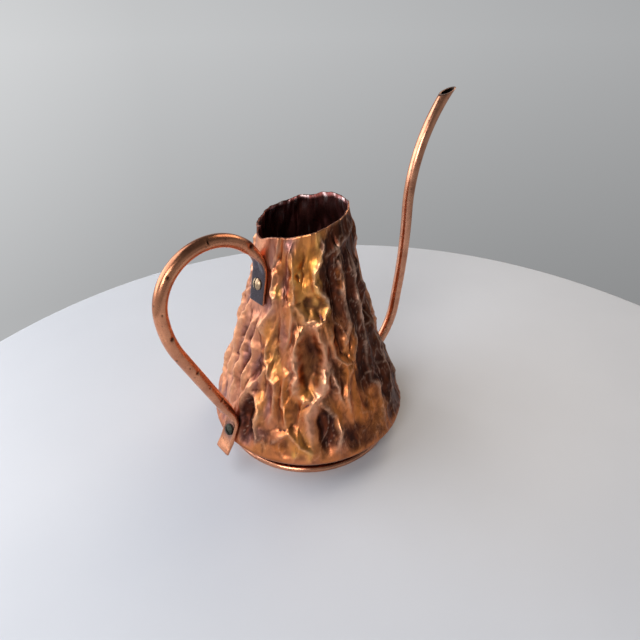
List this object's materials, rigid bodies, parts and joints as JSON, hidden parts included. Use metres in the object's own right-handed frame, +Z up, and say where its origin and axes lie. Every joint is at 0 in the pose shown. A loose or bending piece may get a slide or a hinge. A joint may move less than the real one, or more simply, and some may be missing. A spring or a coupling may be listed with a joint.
{
  "type": "watering can",
  "caption": "Small handmade copper watering can: crumpled flared body on a wire foot ring, long thin curved spout and a tube loop handle screwed to the body.",
  "frame": {"origin": "centre of the foot ring's underside, on the surface the can stands on", "axes": "+Z up, +X towards the spout, -X towards the handle; spout and handle lie in the XZ plane"},
  "size_m": [0.1962, 0.112, 0.1745],
  "materials": {
    "copper_body": "crumpled copper sheet with heat colours from golden orange to dark brown patina, satin",
    "copper_base": "flat copper sheet, satin",
    "copper_wire": "round copper wire, satin",
    "copper_tube": "drawn copper tube, satin, lightly tarnished",
    "pale_brass": "machined brass, satin",
    "aged_brass": "brass gone dull grey-green",
    "solder": "soft solder, satin grey",
    "seal_rubber": "black rubber"
  },
  "bodies": {
    "root": {"body_shell": "copper_body", "base_disc": "copper_base", "base_solder": "solder", "foot_ring": "copper_wire", "foot_solder": "solder", "spout_tube": "copper_tube", "spout_solder": "solder", "handle_tube": "copper_tube", "upper_screw": "pale_brass", "upper_washer": "pale_brass", "upper_nut": "pale_brass", "lower_screw": "aged_brass", "lower_seal_washer": "seal_rubber", "lower_washer": "pale_brass", "lower_nut": "pale_brass"}
  },
  "joints": []
}
